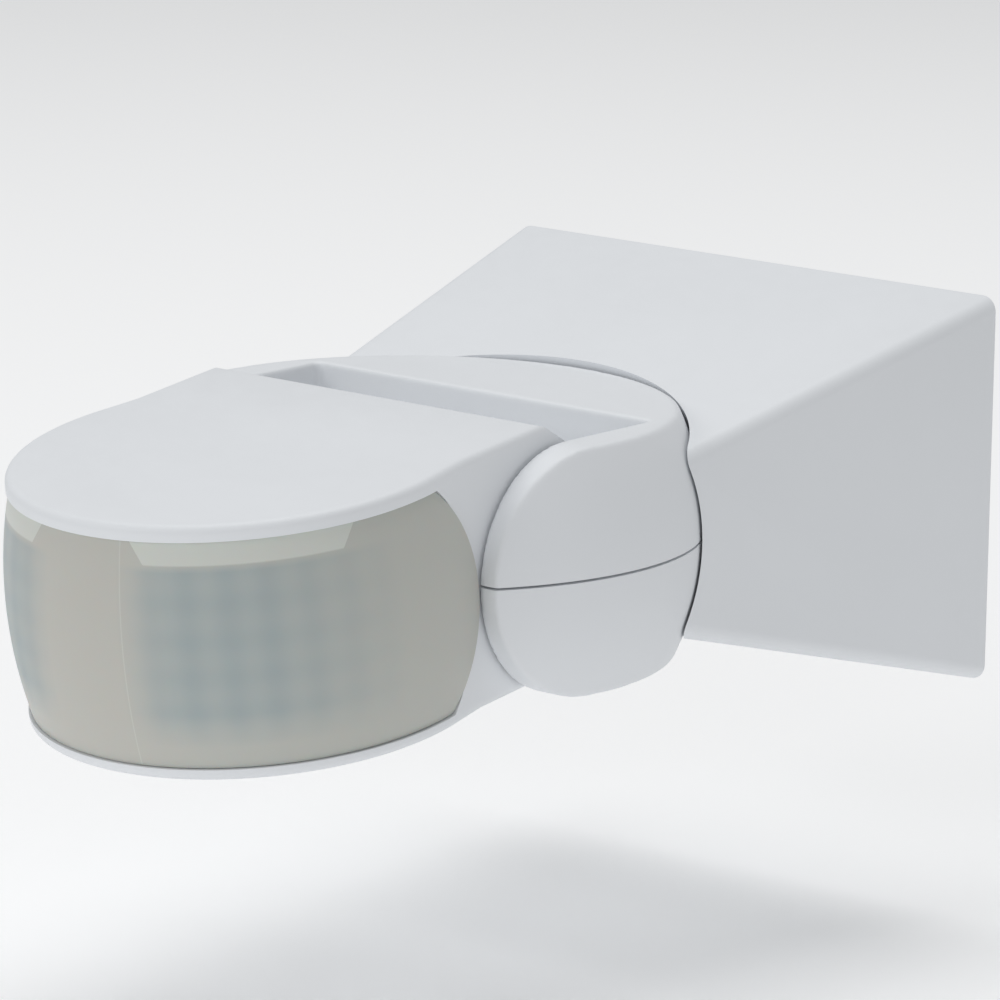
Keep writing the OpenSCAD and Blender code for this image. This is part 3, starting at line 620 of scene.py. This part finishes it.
def wedge(name, inset, front, edge):
    """The wedge of the wall base, its sides moved in by inset"""
    bm = bmesh.new()
    bmesh.ops.create_cube(bm, size=2.0)
    for vert in bm.verts:
        y = 0.0 if vert.co.y > 0 else -front
        half_w = HOUSING_HALF_W - inset + y * SIDE_TAPER
        half_h = HOUSING_HALF_H - inset + y * ROOF_TAPER
        vert.co = (math.copysign(half_w, vert.co.x), y, math.copysign(half_h, vert.co.z))
    long_edges = [e for e in bm.edges if abs(e.verts[0].co.y - e.verts[1].co.y) > 1]
    bmesh.ops.bevel(
        bm, geom=long_edges, offset=edge, offset_type="OFFSET", segments=7, profile=0.5,
        affect="EDGES", clamp_overlap=False, material=-1,
    )
    if inset == 0:
        rim = [e for e in bm.edges if min(v.co.y for v in e.verts) > -1e-4]
        bmesh.ops.bevel(
            bm, geom=rim, offset=0.35, offset_type="OFFSET", segments=3, profile=0.5,
            affect="EDGES", clamp_overlap=False, material=-1,
        )
    return as_object(name, bm)


class SENSOR_OT_housing(bpy.types.Operator):
    """Builds the wall base's tapered housing with its ball socket"""

    bl_idname = "sensor.housing"
    bl_label = "Wall base housing"

    def execute(self, context):
        front = -SWIVEL.y - 6.0
        housing = wedge("housing_skin", 0, front, 1.9)
        cavity = wedge("tool", HOUSING_WALL, front - 2, 1.0)
        cavity.data.transform(Matrix.Translation((0, 0.5, 0)))
        cut(cavity, ball_tool(SOCKET_R + HOUSING_WALL, SWIVEL))
        cut(housing, cavity)
        cut(housing, ball_tool(SOCKET_R, SWIVEL))
        slot_half = math.sin(math.radians(NECK_SLOT_ANGLE)) * (SOCKET_R + HOUSING_WALL)
        cut(housing, box_tool((-slot_half, -45, -NECK_SLOT_HALF_H), (slot_half, -20, NECK_SLOT_HALF_H)))
        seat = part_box("housing_screws")[0].z / MM + 1.5
        for place in HOUSING_SCREWS:
            cut(housing, rod_tool(2.6, -30, seat, place))
            cut(housing, rod_tool(1.4, -25, -15, place))
        settle(housing, finish_for("white_abs"), "base", ["base_housing"], 28.0)
        return {"FINISHED"}


class SENSOR_OT_yoke(bpy.types.Operator):
    """Builds the two halves of the ball-shaped yoke"""

    bl_idname = "sensor.yoke"
    bl_label = "Yoke halves"

    def tongue(self):
        """A thin sheet just inside the skin that closes the seam between the halves"""
        sheet = ball_tool(BALL_R - TONGUE_INSET, SWIVEL)
        front = TILT.y - EAR_R + TONGUE_INSET
        cut(sheet, box_tool((-60, front, -0.4 * SEAM), (60, 0, SEAM)), "INTERSECT")
        slot = SLOT_HALF + TONGUE_INSET
        cut(sheet, box_tool((-slot, -200, -50), (slot, TILT.y + SLOT_BACK + TONGUE_INSET, 50)))
        return sheet

    def execute(self, context):
        settings = context.scene.sensor_finish
        ball = ball_tool(BALL_R, SWIVEL)
        ball.name = "yoke_form"
        ears = [
            (60, EAR_R),
            *arc((TILT.y, 0), EAR_R, 90, 270, 64),
            (60, -EAR_R),
        ]
        cut(ball, prism("tool", ears, -60, 60, SIDEWAYS), "INTERSECT")
        cut(ball, box_tool((-SLOT_HALF, -200, -50), (SLOT_HALF, TILT.y + SLOT_BACK, 50)))
        remesh = ball.modifiers.new("Even faces", "REMESH")
        remesh.mode = "VOXEL"
        remesh.voxel_size = SKIN_STEP
        smooth = ball.modifiers.new("Soft edges", "SMOOTH")
        smooth.factor = 0.5
        smooth.iterations = settings.yoke_softness
        bake_modifiers(ball)
        for name, sign, node_name in (("yoke_upper_skin", 1, "yoke_upper"),
                                      ("yoke_lower_skin", -1, "yoke_lower")):
            bm = bmesh.new()
            bm.from_mesh(ball.data)
            keep_flat(bm, sign * SEAM / 2, sign)
            half = as_object(name, bm)
            if sign > 0:
                cut(half, self.tongue(), "UNION")
            if sign < 0:
                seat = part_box("yoke_screws")[0].z / MM + 1.5
                for x, behind in YOKE_SCREWS:
                    place = (x, SWIVEL.y + behind)
                    cut(half, rod_tool(2.5, -30, seat, place))
                    cut(half, rod_tool(1.4, -20, -1, place))
            neck = box_tool(
                (-NECK_HALF_W, SWIVEL.y + BALL_R - 3, SEAM / 2),
                (NECK_HALF_W, SWIVEL.y + NECK_END, NECK_HALF_H),
            )
            if sign < 0:
                neck.data.transform(Matrix.Scale(-1, 4, (0, 0, 1)))
                neck.data.flip_normals()
            cut(half, neck, "UNION")
            settle(half, finish_for("white_abs"), "yoke", [node_name], 42.0)
        mesh = ball.data
        bpy.data.objects.remove(ball)
        bpy.data.meshes.remove(mesh)
        return {"FINISHED"}


class SENSOR_OT_head(bpy.types.Operator):
    """Builds the head's shell: top and bottom plates, cheeks and round tail"""

    bl_idname = "sensor.head"
    bl_label = "Head shell"

    def execute(self, context):
        settings = context.scene.sensor_finish
        shell = prism(
            "head_skin", head_outline(0, 16), -HEAD_BOTTOM, HEAD_TOP, soften=settings.plate_edge
        )
        side = head_side_outline(HEAD_BOTTOM, HEAD_TOP, -PLATE_SETBACK)
        cut(shell, prism("tool", side, -40, 40, SIDEWAYS), "INTERSECT")
        cavity = prism("tool", head_outline(-HEAD_WALL, 16), LENS_BOTTOM, LENS_TOP)
        inner = head_side_outline(HEAD_BOTTOM - HEAD_WALL, LENS_TOP + 1, -PLATE_SETBACK - 2.6)
        cut(cavity, prism("tool", inner, -40, 40, SIDEWAYS), "INTERSECT")
        cut(shell, cavity)
        cut(shell, prism("tool", window_outline(0), -40, 40, SIDEWAYS))
        cut(shell, prism("tool", head_outline(-COVER_INSET, COVER_END), -20, -5))
        for sign in (-1, 1):
            along = Matrix.Rotation(sign * math.pi / 2, 4, "Y")
            cut(shell, rod_tool(PIVOT_R, 24, PIVOT_END, (0, 0), along), "UNION")
            cut(shell, rod_tool(PIVOT_BORE_R, 20, 30, (0, 0), along))
        shell.data.transform(HEAD)
        settle(shell, finish_for("white_abs"), "head", ["head_shell"], 28.0)
        return {"FINISHED"}


class SENSOR_OT_lens(bpy.types.Operator):
    """Builds the wrap-round barrel lens"""

    bl_idname = "sensor.lens"
    bl_label = "Lens"

    def execute(self, context):
        half = (LENS_TOP - LENS_BOTTOM) / 2
        middle = (LENS_TOP + LENS_BOTTOM) / 2
        swing_r = (half * half + LENS_BULGE * LENS_BULGE) / (2 * LENS_BULGE)
        bm = bmesh.new()
        rows = 36
        verts = []
        for i in range(rows + 1):
            z = -half + 2 * half * i / rows
            r = LENS_RIM_R + LENS_BULGE - swing_r + math.sqrt(swing_r * swing_r - z * z)
            verts.append(bm.verts.new((r, 0, z)))
        edges = [bm.edges.new(pair) for pair in zip(verts, verts[1:])]
        bmesh.ops.spin(
            bm, geom=verts + edges, cent=(0, 0, 0), axis=(0, 0, 1), angle=2 * math.pi,
            steps=200, use_merge=True,
        )
        bmesh.ops.translate(bm, verts=bm.verts, vec=(0, -NOSE_REACH, middle))
        lens = as_object("lens_skin", bm)
        wall = lens.modifiers.new("Wall", "SOLIDIFY")
        wall.thickness = LENS_WALL
        wall.offset = -1.0
        bake_modifiers(lens)
        cut(lens, prism("tool", window_outline(-0.1), -40, 40, SIDEWAYS), "INTERSECT")
        lens.data.transform(HEAD)
        settle(lens, finish_for("milky_polyethylene"), "head", ["lens"], 30.0)
        return {"FINISHED"}


class SENSOR_OT_fittings(bpy.types.Operator):
    """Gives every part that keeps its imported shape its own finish"""

    bl_idname = "sensor.fittings"
    bl_label = "Fittings and inner parts"

    def execute(self, context):
        for part in frame["record"]["subparts"]:
            obj = frame["nodes"][part["node"]]
            material = finish_for(part["material_slot"])
            if not obj.material_slots:
                raise RuntimeError(f"{part['node']} has no material slot")
            for place in obj.material_slots:
                place.material = material
        return {"FINISHED"}


class SENSOR_OT_stage(bpy.types.Operator):
    """Builds the studio: floor, lights and camera"""

    bl_idname = "sensor.stage"
    bl_label = "Studio"

    def execute(self, context):
        settings = context.scene.sensor_finish
        bm = bmesh.new()
        bmesh.ops.create_grid(bm, x_segments=8, y_segments=8, size=6.0)
        bmesh.ops.translate(bm, verts=bm.verts, vec=(0, 0, CAD_BOX[0][2] - FLOOR_GAP))
        mesh = bpy.data.meshes.new("floor")
        bm.to_mesh(mesh)
        bm.free()
        floor = bpy.data.objects.new("floor", mesh)
        context.scene.collection.objects.link(floor)
        mesh.materials.append(studio_floor("Studio floor", tuple(settings.floor)))

        world = context.scene.world or bpy.data.worlds.new("Studio")
        context.scene.world = world
        world.use_nodes = True
        sky = world.node_tree.nodes["Background"]
        sky.inputs["Color"].default_value = (0.97, 0.985, 1.0, 1.0)
        sky.inputs["Strength"].default_value = SKY

        target = Vector((0, -0.06, 0))
        for name, place, size, power in LIGHTS:
            lamp = bpy.data.lights.new(name, "AREA")
            lamp.size = size
            lamp.energy = power
            obj = bpy.data.objects.new(name, lamp)
            obj.location = place
            obj.rotation_euler = (target - Vector(place)).to_track_quat("-Z", "Y").to_euler()
            context.scene.collection.objects.link(obj)

        azimuth, elevation, roll = (
            math.radians(a) for a in (CAMERA_AZIMUTH, CAMERA_ELEVATION, CAMERA_ROLL)
        )
        back = Vector((
            math.sin(azimuth) * math.cos(elevation),
            -math.cos(azimuth) * math.cos(elevation),
            math.sin(elevation),
        ))
        right = Vector((math.cos(azimuth), math.sin(azimuth), 0))
        up = back.cross(right)
        turned_right = math.cos(roll) * right + math.sin(roll) * up
        turned_up = -math.sin(roll) * right + math.cos(roll) * up
        data = bpy.data.cameras.new("camera")
        data.sensor_width = SENSOR_W
        data.lens = CAMERA_LENS
        data.clip_start = 0.01
        camera = bpy.data.objects.new("camera", data)
        camera.matrix_world = Matrix((
            (turned_right.x, turned_up.x, back.x, CAMERA_PLACE[0]),
            (turned_right.y, turned_up.y, back.y, CAMERA_PLACE[1]),
            (turned_right.z, turned_up.z, back.z, CAMERA_PLACE[2]),
            (0, 0, 0, 1),
        ))
        context.scene.collection.objects.link(camera)
        context.scene.camera = camera
        context.scene.view_settings.view_transform = "Standard"
        return {"FINISHED"}


class SENSOR_PT_panel(bpy.types.Panel):
    """Lists the steps that build the sensor's skins"""

    bl_label = "Motion Sensor"
    bl_idname = "SENSOR_PT_panel"
    bl_space_type = "VIEW_3D"
    bl_region_type = "UI"
    bl_category = "Motion Sensor"

    def draw(self, context):
        settings = context.scene.sensor_finish
        for name in SENSOR_PG_finish.__annotations__:
            self.layout.prop(settings, name)
        for step in STEPS:
            self.layout.operator(step.bl_idname)


STEPS = (
    SENSOR_OT_housing,
    SENSOR_OT_yoke,
    SENSOR_OT_head,
    SENSOR_OT_lens,
    SENSOR_OT_fittings,
    SENSOR_OT_stage,
)
CLASSES = (SENSOR_PG_finish, *STEPS, SENSOR_PT_panel)


def register():
    for item in CLASSES:
        bpy.utils.register_class(item)
    bpy.types.Scene.sensor_finish = bpy.props.PointerProperty(type=SENSOR_PG_finish)


def unregister():
    del bpy.types.Scene.sensor_finish
    for item in reversed(CLASSES):
        bpy.utils.unregister_class(item)


def main():
    register()
    bpy.ops.sensor.housing()
    bpy.ops.sensor.yoke()
    bpy.ops.sensor.head()
    bpy.ops.sensor.lens()
    bpy.ops.sensor.fittings()
    bpy.ops.sensor.stage()


if __name__ == "__main__":
    main()
